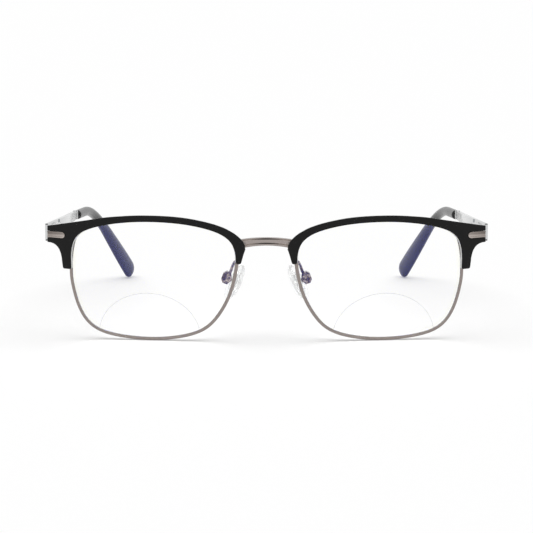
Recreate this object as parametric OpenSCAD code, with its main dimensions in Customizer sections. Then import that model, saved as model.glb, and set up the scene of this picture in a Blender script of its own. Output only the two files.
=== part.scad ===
// Bifocal reading glasses with metal eyewires, brow plates and spring hinges.
// X runs to the wearer's left, Y runs from the front to the temple tips, Z is up.
// The glasses stand on their eyewires and temple tips, and the floor is Z = 0.

/* [Eyewires and lenses] */
// Width of one lens opening
eye_w = 50.9; // [46:0.1:56]
// Height of one lens opening
eye_h = 37.1; // [33:0.1:41]
// Distance between the two lens openings across the nose
bridge_gap = 19.8; // [17:0.1:23]
// Radius of the ball that the front is curved to
base_r = 120; // [95:1:160]
// How far each lens turns back towards its temple, in degrees
wrap = 5; // [2:0.5:8]
// How far the top of the front leans forward as it stands, in degrees
lean = 5.3; // [2:0.1:8]
// Width of the eyewire seen from the front
rim_w = 1.05; // [0.9:0.05:1.4]
// Depth of the eyewire from front to back
rim_d = 2; // [1.8:0.1:2.6]
// Depth of the groove that holds the lens
groove_d = 0.5; // [0.35:0.05:0.55]
// Width of the groove at its mouth
groove_w = 0.85; // [0.7:0.05:1]
// Break on the edges of the eyewire
rim_break = 0.15; // [0.1:0.05:0.25]
// Thickness of the lens
lens_t = 1.8; // [1.5:0.1:2]
// Thickness of the bevel round the lens
bevel_t = 0.5; // [0.4:0.05:0.6]
// Height of the bevel round the lens
bevel_h = 0.4; // [0.25:0.05:0.45]
// Gap between the lens and the eyewire
lens_fit = 0.05; // [0.03:0.01:0.1]

/* [Reading segments] */
// Width of the reading segment at its foot
segment_w = 32; // [26:0.5:36]
// Height of the reading segment above the bottom of the lens opening
segment_h = 14.5; // [11:0.5:18]
// How far the segment sits to the temple side of the lens centre
segment_shift = 1.8; // [0:0.1:3]
// How far the segment stands out of the lens
segment_rise = 0.12; // [0.08:0.02:0.2]

/* [Brow plates] */
// Thickness of the brow plate
brow_t = 1.4; // [1.2:0.1:1.8]
// Width of the brow plate over the middle of the lens
brow_w = 2.08; // [1.8:0.02:2.6]
// Height of the plate's end over the hinge
flag_h = 5.1; // [4.8:0.1:6]
// Height of the middle of that end above the lens centre
flag_level = 12.75; // [12.2:0.05:13.2]
// How much of the endpiece shows past the plate
corner_show = 1.05; // [0.3:0.05:1.3]
// Radius of the plate's small corners
brow_corner_r = 0.6; // [0.4:0.1:0.9]

/* [Bridge] */
// Height of the bridge at its middle
bridge_h = 2.5; // [2.2:0.1:3]
// Height of the bridge where it meets the plates
bridge_end_h = 2.7; // [2.4:0.1:3.4]
// Thickness of the bridge from front to back
bridge_t = 1.7; // [1.4:0.1:2.2]
// Height of the bridge's middle above the lens centre
bridge_level = 11.6; // [10.8:0.05:12.2]
// How far the bridge's middle rises above its ends
bridge_arch = 1.1; // [0.6:0.1:2]
// Depth of the two grooves along the bridge
bridge_groove = 0.3; // [0.15:0.05:0.4]

/* [Endpieces and trim bars] */
// How far each endpiece reaches out past its lens opening
end_out = 8.45; // [7:0.05:9.5]
// Thickness of the endpiece behind the plate
end_t = 1.2; // [1:0.1:1.5]
// Height of the corner block that the hinge is soldered to
corner_h = 4.6; // [4.2:0.1:5]
// Height of the trim bar
trim_h = 1.9; // [1.7:0.1:2.5]
// Length of the trim bar
trim_l = 5.8; // [5:0.1:6.5]
// How far the trim bar stands out of the plate
trim_rise = 0.15; // [0.1:0.05:0.3]
// Gap round the trim bar in its slot
trim_fit = 0.14; // [0.08:0.02:0.2]

/* [Nose pads] */
// Height of a nose pad
pad_l = 12.4; // [11:0.1:14]
// Width of a nose pad
pad_w = 7; // [6:0.1:8]
// Thickness of a nose pad
pad_t = 2.2; // [2:0.1:2.6]
// How far the pads lean apart at the bottom, in degrees
pad_lean = 21; // [16:1:25]
// How far the pads open towards the face, in degrees
pad_splay = 30; // [25:1:35]
// Distance from the middle of the glasses to a pad screw
pad_x = 11.9; // [11.4:0.1:12.6]
// Distance from the front of the lenses back to a pad screw
pad_y = 8.4; // [8:0.1:9.4]
// Height of a pad screw below the lens centre
pad_drop = 0.9; // [0:0.1:2]
// Diameter of the pad arm's wire
arm_d = 1; // [0.9:0.1:1.2]
// Diameter of the pad screw
pad_screw_d = 1; // [0.9:0.1:1.1]

/* [Hinges] */
// Radius of the hinge knuckles
knuckle_r = 1.15; // [1.1:0.05:1.3]
// Diameter of the hinge screw
hinge_screw_d = 1.2; // [1:0.1:1.3]
// Height of the whole hinge
hinge_h = 3.2; // [3:0.1:3.6]
// Height of the middle knuckle, the one that is sprung
eye_knuckle_h = 1; // [0.9:0.05:1.2]
// Running gap in the hinge
hinge_fit = 0.05; // [0.03:0.01:0.08]
// Width of the box that holds the spring
box_w = 2.7; // [2.6:0.1:3]
// Diameter of the sliding stem
stem_d = 0.85; // [0.75:0.05:0.95]
// Diameter of the spring's wire
spring_wire = 0.3; // [0.25:0.05:0.35]
// Number of turns of the spring
spring_turns = 6; // [4:1:6]
// How far the spring lets the temple pull out
spring_travel = 1.2; // [0.8:0.1:1.5]

/* [Temples] */
// Length of the bare metal part of the temple
shank_l = 65.2; // [58:0.1:70]
// Height of the temple at the hinge
shank_h = 5.4; // [4.6:0.1:5.6]
// Height of the temple where it enters its sleeve
shank_end_h = 2.7; // [2.5:0.1:3]
// Thickness of the temple
shank_t = 1.35; // [1.3:0.05:1.7]
// Thickness of the temple beside the hinge
shank_front_t = 0.9; // [0.8:0.05:1]
// How far the temple closes in towards its tip, in degrees
toe_in = 1.6; // [1:0.1:3]
// How far the temple slopes down towards its bend, in degrees
droop = 2.15; // [1:0.05:3]
// Diameter of the core wire in the sleeve
core_d = 1.1; // [0.9:0.1:1.2]
// Length of the metal collar at the sleeve
collar_l = 1.3; // [1:0.1:2]

/* [Temple sleeves] */
// Straight length of the sleeve before its bend
sleeve_straight = 14.3; // [10:0.1:20]
// How far the straight part closes in past the shank, in degrees
sleeve_in = 3.9; // [2:0.1:6]
// Radius of the bend over the ear
bend_r = 38.7; // [32:0.1:44]
// Angle of the bent end below level, in degrees
bend_drop = 44.4; // [40:0.1:50]
// How far the bend turns the end inwards, in degrees
bend_in = 19.4; // [14:0.1:24]
// Height of the sleeve at its mouth
sleeve_h = 3.3; // [2.8:0.1:3.5]
// Thickness of the sleeve
sleeve_t = 3.1; // [2.6:0.1:3.2]
// Height of the flat paddle near the tip
paddle_h = 6.7; // [5.8:0.1:7.2]
// Length of the end that swells into the paddle
paddle_l = 38.4; // [30:0.1:42]

/* [Hidden] */

// Smoothness of balls, of fine round parts and of outlines
ball_facets = 240;
$fn = 48;
steps = 4;
// Gap between pieces that are soldered or seated together
seat = 0.02;

// Shape of the lens opening, seen from the front: u to the temple side, v up
shape = [
    [25.8, 3.0], [25.3, 8.6], [23.7, 13.0], [19.8, 15.3], [12.0, 17.1],
    [2.0, 17.9], [-8.5, 17.35], [-17.0, 15.5], [-22.2, 13.0], [-24.7, 9.5],
    [-25.05, 4.0], [-22.86, -5.28], [-18.33, -13.1], [-13.05, -17.0], [-4.7, -18.9],
    [4.8, -19.2], [14.45, -18.05], [20.08, -15.47], [23.5, -10.35], [25.55, -2.5]
];
shape_n = len(shape);
shape_temporal = 25.8;
shape_nasal = 25.1;
shape_top = 17.9;
shape_bottom = 19.2;
u_scale = eye_w / (shape_temporal + shape_nasal);
v_scale = eye_h / (shape_top + shape_bottom);
eye_x = bridge_gap / 2 + shape_nasal * u_scale;
front_w = bridge_gap + 2 * (eye_w + end_out);

// Point of a smooth curve through four neighbouring points
function blend(p0, p1, p2, p3, f) =
    0.5 * (2 * p1 + (p2 - p0) * f + (2 * p0 - 5 * p1 + 4 * p2 - p3) * f * f
    + (3 * p1 - p0 - 3 * p2 + p3) * f * f * f);
// Point of an open smooth curve, where t counts the control points passed
function along(pts, t) =
    let (n = len(pts) - 1, i = min(floor(t), n - 1), f = t - i)
    blend(pts[max(i - 1, 0)], pts[i], pts[i + 1], pts[min(i + 2, n)], f);
// Point of the lens opening
function eye_at(t) =
    let (i = floor(t), f = t - i, p = [for (k = [-1:2]) shape[(i + k + shape_n) % shape_n]],
        q = blend(p[0], p[1], p[2], p[3], f))
    [q[0] * u_scale, q[1] * v_scale];
// Direction round the lens opening, and a point at a distance outside it
function eye_dir(t) = let (g = eye_at(t + 0.01) - eye_at(t - 0.01)) g / norm(g);
function eye_out(t) = let (g = eye_dir(t)) [g[1], -g[0]];
function eye_off(t, d) = eye_at(t) + d * eye_out(t);
eye_ts = [for (i = [0 : shape_n * steps - 1]) i / steps];
function eye_outline(d) = [for (t = eye_ts) eye_off(t, d)];

// How far the ball's face lies behind its front, and a front point in space
function sag(u, v) = base_r - sqrt(base_r * base_r - u * u - v * v);
function tilted(u, v, w) =
    let (s = sag(u, v) + w, y = u * sin(wrap) + s * cos(wrap))
    [eye_x + u * cos(wrap) - s * sin(wrap), y * cos(lean) - v * sin(lean), y * sin(lean) + v * cos(lean)];
eye_z = -min([for (p = eye_outline(rim_w)) tilted(p[0], p[1], 0)[2]]);
function place(u, v, w) = tilted(u, v, w) + [0, 0, eye_z];
function place_p(p, w) = place(p[0], p[1], w);

// Ends of the split eyewire, in control points round the opening
split_t = 0.55;
split_gap = 0.3;
split_v = eye_at(split_t)[1];
split_dt = split_gap / 2 / (shape[1][1] - shape[0][1]);

// Outline of the brow plate, as distances outside the lens opening at points round it
brow_nose_t = 9.8;
brow_top_t = 3.5;
widths = [
    [3.5, 1.16], [4.2, 1.04], [5.1, 1], [6.6, 1.07], [7.4, 1.16], [8, 1.3],
    [8.4, 1.49], [8.6, 1.61], [8.8, 1.75], [9, 1.78], [9.2, 1.71], [9.4, 1.36], [9.6, 1.13], [9.8, 0.96]
];
insets = [
    [0, 0.1], [0.5, 0.32], [1.1, 0.47], [1.6, 0.3], [2.1, -0.08], [2.7, -0.08], [3.5, 0],
    [4.5, 0.1], [6, 0.13], [7, 0.21], [8, 0.25], [9.6, 0.25], [9.8, 0.32]
];
function brow_width(t) = brow_w * lookup(t, widths);
function brow_inset(t) = lookup(t, insets);
flag_x = front_w / 2 - corner_show;
flag_u0 = (flag_x - eye_x) / cos(wrap);
flag_u = (flag_x - eye_x + sag(flag_u0, flag_level) * sin(wrap)) / cos(wrap);
flag_top = flag_level + flag_h / 2;
flag_low = flag_level - flag_h / 2;
leg_low = 2.2 * v_scale;
leg_in = eye_off(0, brow_inset(0))[0];
leg_w = 2.9;
leg_out = leg_in + leg_w;
function bezier(a, b, c, d, f) =
    pow(1 - f, 3) * a + 3 * f * pow(1 - f, 2) * b + 3 * f * f * (1 - f) * c + pow(f, 3) * d;
function arc(c, r, a0, a1, n) = [
    for (i = [0 : n]) let (a = a0 + (a1 - a0) * i / n) c + r * [cos(a), sin(a)]
];
brow_top_edge = [for (t = [brow_nose_t : -0.2 : brow_top_t]) eye_off(t, brow_width(t))];
brow_foot = [for (f = [0 : 0.125 : 1]) bezier(
    [flag_u - 0.1, flag_low], [leg_out + 2.1, flag_low],
    [leg_out + 0.4, flag_low - 1.4], [leg_out + 0.15, flag_low - 6.1], f)];
brow_leg = concat(
    arc([leg_out - brow_corner_r, leg_low + brow_corner_r], brow_corner_r, 0, -90, 4),
    arc([leg_in + brow_corner_r, leg_low + brow_corner_r], brow_corner_r, -90, -180, 4));
brow_eye_edge = [for (t = [1 / steps : 1 / steps : brow_nose_t]) eye_off(t, brow_inset(t))];
// The nose end is blunt: half an oval across the plate
tip_half = (brow_width(brow_nose_t) - brow_inset(brow_nose_t)) / 2;
tip_depth = 0.5;
brow_nose_c = eye_off(brow_nose_t, brow_inset(brow_nose_t) + tip_half);
brow_tip = [for (a = [180 : -30 : 30])
    brow_nose_c + tip_half * cos(a) * eye_out(brow_nose_t) + tip_depth * sin(a) * eye_dir(brow_nose_t)];
brow_outline = concat(brow_top_edge, [[flag_u, flag_top], [flag_u, flag_low]],
    brow_foot, brow_leg, brow_eye_edge, brow_tip);

// Hinge places, worked out from the front
flag_back = place(flag_u, flag_level, end_t);
trim_level = flag_level - 0.06;
hinge_z = place(flag_u, trim_level, 0)[2];
seam_y = flag_back[1] + 0.4;
temple_x = front_w / 2;
temple_gap = 0.12;
hinge_x = temple_x - shank_front_t - seat - box_w / 2;
hinge_y = seam_y + knuckle_r + 0.4;

// Frame of the temple: from the hinge pin, Y along the temple and X outwards
module temple_frame() {
    translate([hinge_x, hinge_y, hinge_z]) rotate([0, 0, toe_in]) children();
}
function temple_pt(p) =
    [hinge_x + p[0] * cos(toe_in) - p[1] * sin(toe_in),
        hinge_y + p[0] * sin(toe_in) + p[1] * cos(toe_in), hinge_z + p[2]];

// Sleeve centre line: straight, then an arc, then straight down to the floor
shank_in = box_w / 2 + seat;
shank_out = shank_in + shank_front_t;
shank_y0 = seam_y + temple_gap - hinge_y;
shank_y1 = shank_y0 + shank_l;
// Gap between the end of the shank and its sleeve, and how far the sleeve sits inwards
sleeve_room = 0.1;
sleeve_start = shank_y1 + sleeve_room;
sleeve_set = 0.45;
sleeve_x = shank_out - shank_t / 2 - sleeve_set;
function shank_mid(y) = -tan(droop) * (y - shank_y0);
bend_len = bend_r * (bend_drop - droop) * PI / 180;
function bend_part(s) = min(max((s - sleeve_straight) / bend_len, 0), 1);
function path_drop(s) =
    let (a = droop + (bend_drop - droop) * bend_part(s), past = max(s - sleeve_straight - bend_len, 0),
        before = min(s, sleeve_straight))
    [before * cos(droop) + bend_r * (sin(a) - sin(droop)) + past * cos(bend_drop),
        before * sin(droop) + bend_r * (cos(droop) - cos(a)) + past * sin(bend_drop)];
// The turn inwards grows along the bend and stays on in the straight end
function path_in(s) =
    let (b = bend_part(s), past = max(s - sleeve_straight - bend_len, 0))
    tan(sleeve_in) * s + (tan(bend_in) - tan(sleeve_in)) * (bend_len * b * b / 2 + past) * cos(bend_drop);
function sleeve_mid(s) =
    let (d = path_drop(s))
    [sleeve_x - path_in(s), sleeve_start + d[0], shank_mid(sleeve_start) - d[1]];
// The core starts in the middle of the shank and comes to the middle of the sleeve
core_joggle = 3;
function core_mid(s) = sleeve_mid(s) + [sleeve_set * min(max(1 - s / core_joggle, 0), 1), 0, 0];
// The sleeve's mouth is square to the shank
function sleeve_dir(s) =
    let (g = sleeve_mid(s + 0.05) - sleeve_mid(s - 0.05))
    s <= 0 ? [0, cos(droop), -sin(droop)] : g / norm(g);
// Half height and half thickness of the sleeve, by the distance from its tip
tip_cap = 3;
function swell(e) = let (f = min(max(1 - e / paddle_l, 0), 1)) f * f * (3 - 2 * f);
function cap_round(e) = e >= tip_cap ? 1 : sqrt(max(1 - pow(1 - e / tip_cap, 2), 0));
function half_h(e) = (sleeve_h + (paddle_h - sleeve_h) * swell(max(e - 4, 0))) / 2 * cap_round(e);
function half_t(e) = sleeve_t / 2 * cap_round(e);
sleeve_sides = 20;
// Oval ring round a point of the path, square to the path there
function path_ring(c, s, across, high, sides) =
    let (g = sleeve_dir(s), x = cross([0, 0, 1], g) / norm(cross([0, 0, 1], g)), up = cross(g, x))
    [for (i = [0 : sides - 1]) let (a = 360 * i / sides) c + x * across * cos(a) + up * high * sin(a)];
function sleeve_ring(s, total) =
    let (e = max(total - s, 0.02)) path_ring(sleeve_mid(s), s, half_t(e), half_h(e), sleeve_sides);
// The straight end is made just long enough to reach the floor
trial_l = sleeve_straight + bend_len + 20;
function tip_low(total) = min([for (k = [0 : 0.5 : 6], p = sleeve_ring(total - k, total)) hinge_z + p[2]]);
sleeve_l = trial_l + tip_low(trial_l) / sin(bend_drop);
core_l = sleeve_l - 12;
core_stations = [for (j = [0 : 16]) core_l * j / 16];

// The whole depth is centred on Y = 0
front_y = min([for (p = brow_outline) place_p(p, -brow_t)[1]]);
back_y = max([for (k = [0 : 0.5 : 4], p = sleeve_ring(sleeve_l - k, sleeve_l)) temple_pt(p)[1]]);
stance_y = -(front_y + back_y) / 2;

metal = "silver";
gunmetal = "#9d9490";
black = "#232424";

// Puts a piece where it belongs on the left side, or mirrored on the right side
module on_side(side) {
    translate([0, stance_y, 0]) {
        if (side == "left") children();
        else mirror([1, 0, 0]) children();
    }
}
// Frame of the left lens: X to the temple, Y up and Z out of the front
module lens_frame() {
    translate([eye_x, 0, eye_z]) rotate([lean, 0, 0]) rotate([0, 0, wrap]) rotate([90, 0, 0]) children();
}
// Frame on the curved front at u and v, a depth w behind it, square to it
module on_front(u, v, w) {
    translate([0, 0, -w - base_r]) rotate([-asin(v / base_r), asin(u / base_r), 0])
        translate([0, 0, base_r]) children();
}
// Everything behind the curved front at one depth
module behind(w) {
    translate([0, 0, -base_r - w]) sphere(base_r, $fn = ball_facets);
}
// Layer of the curved front between two depths
module layer(w0, w1) {
    difference() {
        behind(w0);
        behind(w1);
    }
}
layer_room = 16;
module prism(outline) {
    translate([0, 0, -layer_room]) linear_extrude(layer_room + 4) polygon(outline);
}
// Tube or bar through a list of rings of points
module skin(rings) {
    n = len(rings[0]);
    m = len(rings);
    polyhedron(
        points = [for (r = rings) each r],
        faces = concat(
            [[for (i = [0 : n - 1]) i]],
            [for (j = [0 : m - 2], i = [0 : n - 1]) each [
                [j * n + i, (j + 1) * n + i, j * n + (i + 1) % n],
                [j * n + (i + 1) % n, (j + 1) * n + i, (j + 1) * n + (i + 1) % n]]],
            [[for (i = [n - 1 : -1 : 0]) (m - 1) * n + i]]),
        convexity = 8);
}
// Rings round a wire through a list of points
function wire_rings(pts, r, sides) = [
    for (j = [0 : len(pts) - 1])
        let (g0 = pts[min(j + 1, len(pts) - 1)] - pts[max(j - 1, 0)], g = g0 / norm(g0),
            x = cross(g, [1, 0.2, 0]) / norm(cross(g, [1, 0.2, 0])), y = cross(g, x))
        [for (i = [0 : sides - 1]) pts[j] + r * (x * cos(360 * i / sides) + y * sin(360 * i / sides))]
];

// Grooved eyewire, split on the temple side
rim_mid = rim_d / 2;
rim_profile = [
    [groove_d, rim_mid - groove_w / 2 + 0.1], [0, rim_mid - groove_w / 2], [0, rim_break],
    [rim_break, 0], [rim_w - rim_break, 0], [rim_w, rim_break],
    [rim_w, rim_d - rim_break], [rim_w - rim_break, rim_d], [rim_break, rim_d],
    [0, rim_d - rim_break], [0, rim_mid + groove_w / 2], [groove_d, rim_mid + groove_w / 2 - 0.1]
];
rim_ts = concat([split_t + split_dt],
    [for (t = [1 : 1 / steps : shape_n]) t], [shape_n + split_t - split_dt]);
module eyewire() {
    skin([for (t = rim_ts) [for (q = rim_profile) place_p(eye_off(t, q[0]), q[1])]]);
}

// Lens with its bevel and the raised reading segment, in one piece
lens_w0 = rim_mid - lens_t / 2;
function segment_outline() = [
    for (a = [0 : 5 : 180])
        [segment_shift + segment_w / 2 * cos(a), -shape_bottom * v_scale + segment_h * sin(a)]
];
module lens() {
    lens_frame() {
        intersection() {
            layer(lens_w0, lens_w0 + lens_t);
            prism(eye_outline(-lens_fit));
        }
        intersection() {
            layer(rim_mid - bevel_t / 2, rim_mid + bevel_t / 2);
            prism(eye_outline(bevel_h));
        }
        intersection() {
            layer(lens_w0 - segment_rise, lens_w0 + lens_t / 2);
            prism(segment_outline());
            prism(eye_outline(-0.4));
        }
    }
}

// Head of a screw, from Z = 0 up, with its slot
slot_w = 0.26;
slot_d = 0.22;
module screw_head(d, h) {
    difference() {
        cylinder(h = h, d = d);
        translate([-d, -slot_w / 2, h - slot_d]) cube([2 * d, slot_w, h]);
    }
}
// Screws that hold a brow plate from behind, at the hinge and at the nose
brow_screw_d = 0.9;
brow_screw_in = 0.9;
brow_screw_fit = 0.02;
temple_screw = [flag_u - 4.6, flag_top - 0.8];
nose_screw_t = 9.35;
nose_screw = eye_off(nose_screw_t, rim_w + 0.78);
module brow_screw_hole(p, through) {
    on_front(p[0], p[1], through) translate([0, 0, -2])
        cylinder(h = 2 + through + brow_screw_in, d = brow_screw_d + 2 * brow_screw_fit);
}
module brow_screw(p, lug) {
    on_front(p[0], p[1], lug) translate([0, 0, -seat]) {
        cylinder(h = seat + lug + brow_screw_in - 0.05, d = brow_screw_d);
        mirror([0, 0, 1]) screw_head(1.25, 0.45);
    }
}

// Brow plate with the slot for its trim bar
trim_u0 = flag_u - trim_l;
function stadium(u0, u1, v, h) = concat(
    [[u1, v - h / 2], [u1, v + h / 2]], arc([u0 + h / 2, v], h / 2, 90, 270, 12));
// The plate's back stands clear of the eyewire by this much
plate_back = 0.03;
module brow_plate() {
    lens_frame() difference() {
        intersection() {
            layer(-brow_t, -plate_back);
            prism(brow_outline);
        }
        prism(stadium(trim_u0 - trim_fit, flag_u + 1, trim_level, trim_h + 2 * trim_fit));
        brow_screw_hole(temple_screw, end_t);
        brow_screw_hole(nose_screw, end_t);
    }
}

// Trim bar with a sunk band along its middle
band_in = 0.45;
band_h = trim_h - 2 * band_in;
band_d = 0.2;
module trim_bar() {
    lens_frame() difference() {
        intersection() {
            layer(-brow_t - trim_rise, -seat);
            prism(stadium(trim_u0, flag_u, trim_level, trim_h));
        }
        intersection() {
            layer(-brow_t - trim_rise - 1, -brow_t - trim_rise + band_d);
            prism(stadium(trim_u0 + band_in, flag_u + 1, trim_level, band_h));
        }
    }
}

// Endpiece: a lug behind the plate and a block at the corner
corner_r = 1.2;
corner_top = hinge_z + 2.5;
block_in = hinge_x + knuckle_r + 0.25;
end_reach = seam_y - 5;
corner_back = 0.15;
// The block's tongue runs in over the lug, inside its thickness, so that both are one piece
tongue_w = 0.6;
tongue_in = 0.1;
lug_v0 = flag_low + 0.15;
lug_v1 = flag_top - 0.15;
// The lug starts inside the opening and is cut back to the eyewire
lug_u0 = 22;
lug_outline = [[lug_u0, lug_v0], [flag_u, lug_v0], [flag_u, lug_v1], [lug_u0, lug_v1]];
corner_outline = concat(
    arc([temple_x - corner_r, flag_back[1] - 0.2], corner_r, -90, 0, 6),
    [[temple_x, seam_y], [block_in, seam_y], [block_in, end_reach]]);
module endpiece() {
    difference() {
        union() {
            lens_frame() intersection() {
                layer(seat, end_t);
                prism(lug_outline);
            }
            intersection() {
                translate([0, 0, corner_top - corner_h]) linear_extrude(corner_h) polygon(corner_outline);
                lens_frame() behind(corner_back);
            }
            intersection() {
                translate([block_in - tongue_w, end_reach, corner_top - corner_h])
                    cube([2 * tongue_w, seam_y - end_reach, corner_h]);
                lens_frame() layer(corner_back + tongue_in, end_t - tongue_in);
            }
        }
        lens_frame() {
            prism(eye_outline(rim_w + seat));
            brow_screw_hole(temple_screw, end_t);
        }
    }
}

// Blocks soldered to the ends of the eyewire, drawn together by a screw
lock_w = 2.3;
lock_h = 2.1;
lock_d = 2.4;
lock_u = eye_at(split_t)[0] + rim_w - 0.15;
lock_z = sag(lock_u + lock_w, split_v + lock_h + split_gap) + 0.05;
lock_screw_d = 0.9;
module lock_block(v0) {
    lens_frame() difference() {
        translate([lock_u, v0, -lock_z - lock_d]) cube([lock_w, lock_h, lock_d]);
        prism(eye_outline(rim_w + seat));
        translate([lock_u + lock_w / 2 + 0.1, split_v - 4, -lock_z - lock_d / 2]) rotate([-90, 0, 0])
            cylinder(h = 8, d = lock_screw_d + 2 * brow_screw_fit);
    }
}
module lock_screw() {
    v0 = split_v - split_gap / 2 - lock_h - seat;
    lens_frame() translate([lock_u + lock_w / 2 + 0.1, v0, -lock_z - lock_d / 2]) rotate([-90, 0, 0]) {
        cylinder(h = seat + 2 * lock_h + split_gap, d = lock_screw_d);
        mirror([0, 0, 1]) screw_head(1.6, 0.5);
    }
}

// Bridge: a grooved bar whose ends follow the outside of the eyewires
bar_gap = 0.2;
wall_first_t = 8.2;
wall_last_t = 10.2;
wall_ts = [for (t = [wall_first_t : 0.2 : wall_last_t]) t];
wall_table = [for (t = wall_ts) let (p = eye_off(t, rim_w + bar_gap)) [-p[1], p[0]]];
function wall_x(v, w) = tilted(lookup(-v, wall_table), v, w)[0];
bar_rings = 24;
bar_profile = [
    [-0.35, -0.5], [-0.5, -0.38], [-0.5, -0.27], [-0.5, -0.2], [-0.5, -0.13],
    [-0.5, 0.28], [-0.5, 0.36], [-0.5, 0.43], [-0.42, 0.5], [0.4, 0.5], [0.5, 0.4], [0.5, -0.4], [0.4, -0.5]
];
groove_rows = [3, 6];
bar_w = 0.68 + bridge_t / 2;
bar_v = bridge_level - bridge_arch;
bar_end_t = 9;
bar_end = tilted(eye_off(bar_end_t, rim_w)[0], bar_v, bar_w);
bar_bow = 0.5;
function bar_point(j, k) =
    let (f = 1 - 2 * j / bar_rings, h = bridge_h + (bridge_end_h - bridge_h) * f * f,
        q = bar_profile[k], cut = (k == groove_rows[0] || k == groove_rows[1]) ? bridge_groove : 0,
        v = bar_v + bridge_arch * (1 - f * f) + q[1] * h,
        y = bar_end[1] - bar_bow * (1 - f * f) + q[0] * bridge_t + cut)
    [f * wall_x(v, bar_w + q[0] * bridge_t), y, eye_z + v];
module bridge() {
    color(gunmetal) translate([0, stance_y, 0])
        skin([for (j = [0 : bar_rings]) [for (k = [0 : len(bar_profile) - 1]) bar_point(j, k)]]);
}

// Tab soldered to the eyewire below the bridge, for the plate's nose screw
tab_ts = [9.25, 9.3, 9.4, 9.5, 9.6];
tab_inset = 0.5;
tab_outline = concat([for (t = tab_ts) eye_off(t, rim_w / 2)],
    [for (k = [len(tab_ts) - 1 : -1 : 0]) eye_off(tab_ts[k], brow_width(tab_ts[k]) - tab_inset)]);
module plate_tab() {
    lens_frame() difference() {
        intersection() {
            layer(seat, end_t);
            prism(tab_outline);
        }
        prism(eye_outline(rim_w + seat));
        brow_screw_hole(nose_screw, end_t);
    }
}

// Nose pad: frame at the pad screw, X outwards, Y back and Z up along the pad
pad_z = eye_z - pad_drop;
pad_out = 2.3;
pad_back = 1.2;
pad_down = 0.8;
module pad_frame() {
    translate([pad_x, pad_y, pad_z]) rotate([0, -pad_lean, 0]) children();
}
function pad_pt(p) =
    [pad_x + p[0] * cos(pad_lean) - p[2] * sin(pad_lean), pad_y + p[1],
        pad_z + p[0] * sin(pad_lean) + p[2] * cos(pad_lean)];
module pad_plane() {
    pad_frame() translate([-pad_out, pad_back, -pad_down]) rotate([0, 0, -pad_splay])
        rotate([0, -90, 0]) children();
}
box_open = 0.6;
box_spine = 2.2;
cheek_y = 1.4;
lug_t = 1.1;
lug_r = 0.9;
lug_fit = 0.1;
pad_box_h = 3.7;
insert_fit = 0.03;
insert_z = -0.65;
insert_t = 0.6;
insert_l = 5.6;
insert_w = 3.4;
// Plate moulded into the pad, with the lug that the screw goes through
module insert_shape(grow) {
    pad_plane() translate([-insert_l / 2 - grow, -insert_w / 2 - grow, insert_z - grow])
        cube([insert_l + 2 * grow, insert_w + 2 * grow, insert_t + 2 * grow]);
    pad_frame() translate([-pad_out + 0.1 - grow, -lug_t / 2 - grow, -lug_r - grow])
        cube([pad_out - 0.1 + grow, lug_t + 2 * grow, 2 * lug_r + 2 * grow]);
}
module pad_insert() {
    difference() {
        union() {
            insert_shape(0);
            pad_frame() rotate([90, 0, 0]) cylinder(h = lug_t, r = lug_r, center = true);
        }
        pad_frame() rotate([90, 0, 0]) cylinder(h = 4, d = pad_screw_d + 2 * hinge_fit, center = true);
    }
}
// Outline of a pad: narrower at the top and swept back at the bottom
pad_taper = 0.12;
pad_skew = 0.18;
pad_outline = [
    for (a = [0 : 10 : 350])
        [pad_l / 2 * cos(a), pad_w / 2 * sin(a) * (1 - pad_taper * cos(a)) - pad_skew * pad_l / 2 * cos(a)]
];
crown_r = 18;
pad_back_r = 30;
module nose_pad() {
    difference() {
        pad_plane() intersection() {
            translate([0, 0, -pad_t]) linear_extrude(2 * pad_t) polygon(pad_outline);
            translate([0, 0, pad_t / 2 - crown_r]) sphere(crown_r, $fn = ball_facets);
            translate([0, 0, pad_back_r - pad_t / 2]) sphere(pad_back_r, $fn = ball_facets);
        }
        insert_shape(insert_fit);
    }
}
// Metal box on the end of the pad arm
box_side = [
    [-box_open, -pad_box_h / 4], [-box_open + 0.5, -pad_box_h / 2], [box_spine - 0.8, -pad_box_h / 2],
    [box_spine, -pad_box_h / 4], [box_spine, pad_box_h / 4], [box_spine - 0.8, pad_box_h / 2],
    [-box_open + 0.5, pad_box_h / 2], [-box_open, pad_box_h / 4]
];
module pad_box() {
    pad_frame() difference() {
        rotate([90, 0, 0]) translate([0, 0, -cheek_y]) linear_extrude(2 * cheek_y) polygon(box_side);
        translate([-box_open - 1, -lug_t / 2 - lug_fit, -pad_box_h / 2 + 0.55])
            cube([box_open + 1 + lug_r + 0.3, lug_t + 2 * lug_fit, pad_box_h - 1.1]);
        rotate([90, 0, 0]) cylinder(h = 6, d = pad_screw_d + 2 * brow_screw_fit, center = true);
    }
}
module pad_screw() {
    pad_frame() rotate([90, 0, 0]) {
        translate([0, 0, -cheek_y]) cylinder(h = 2 * cheek_y + seat, d = pad_screw_d);
        translate([0, 0, cheek_y + seat]) screw_head(2.1, 0.6);
    }
}
// Arm of bent wire from the back of the eyewire to the top of the box
arm_t = 9.9;
arm_root = eye_off(arm_t, rim_w / 2);
arm_end = pad_pt([0.25, 0, pad_box_h / 2 + seat]);
arm_top = place_p(arm_root, rim_d + 3 * seat);
arm_points = [
    arm_top, arm_top + [0.16, 1.2, 0.07], arm_top + [0.95, 2.9, -0.2],
    arm_end + [-0.78, -0.1, 2.1], arm_end + [-0.36, 0, 0.93], arm_end
];
arm_rings = 18;
module pad_arm() {
    skin(wire_rings([for (j = [0 : arm_rings]) along(arm_points, 5 * j / arm_rings)], arm_d / 2, 10));
}

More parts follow.
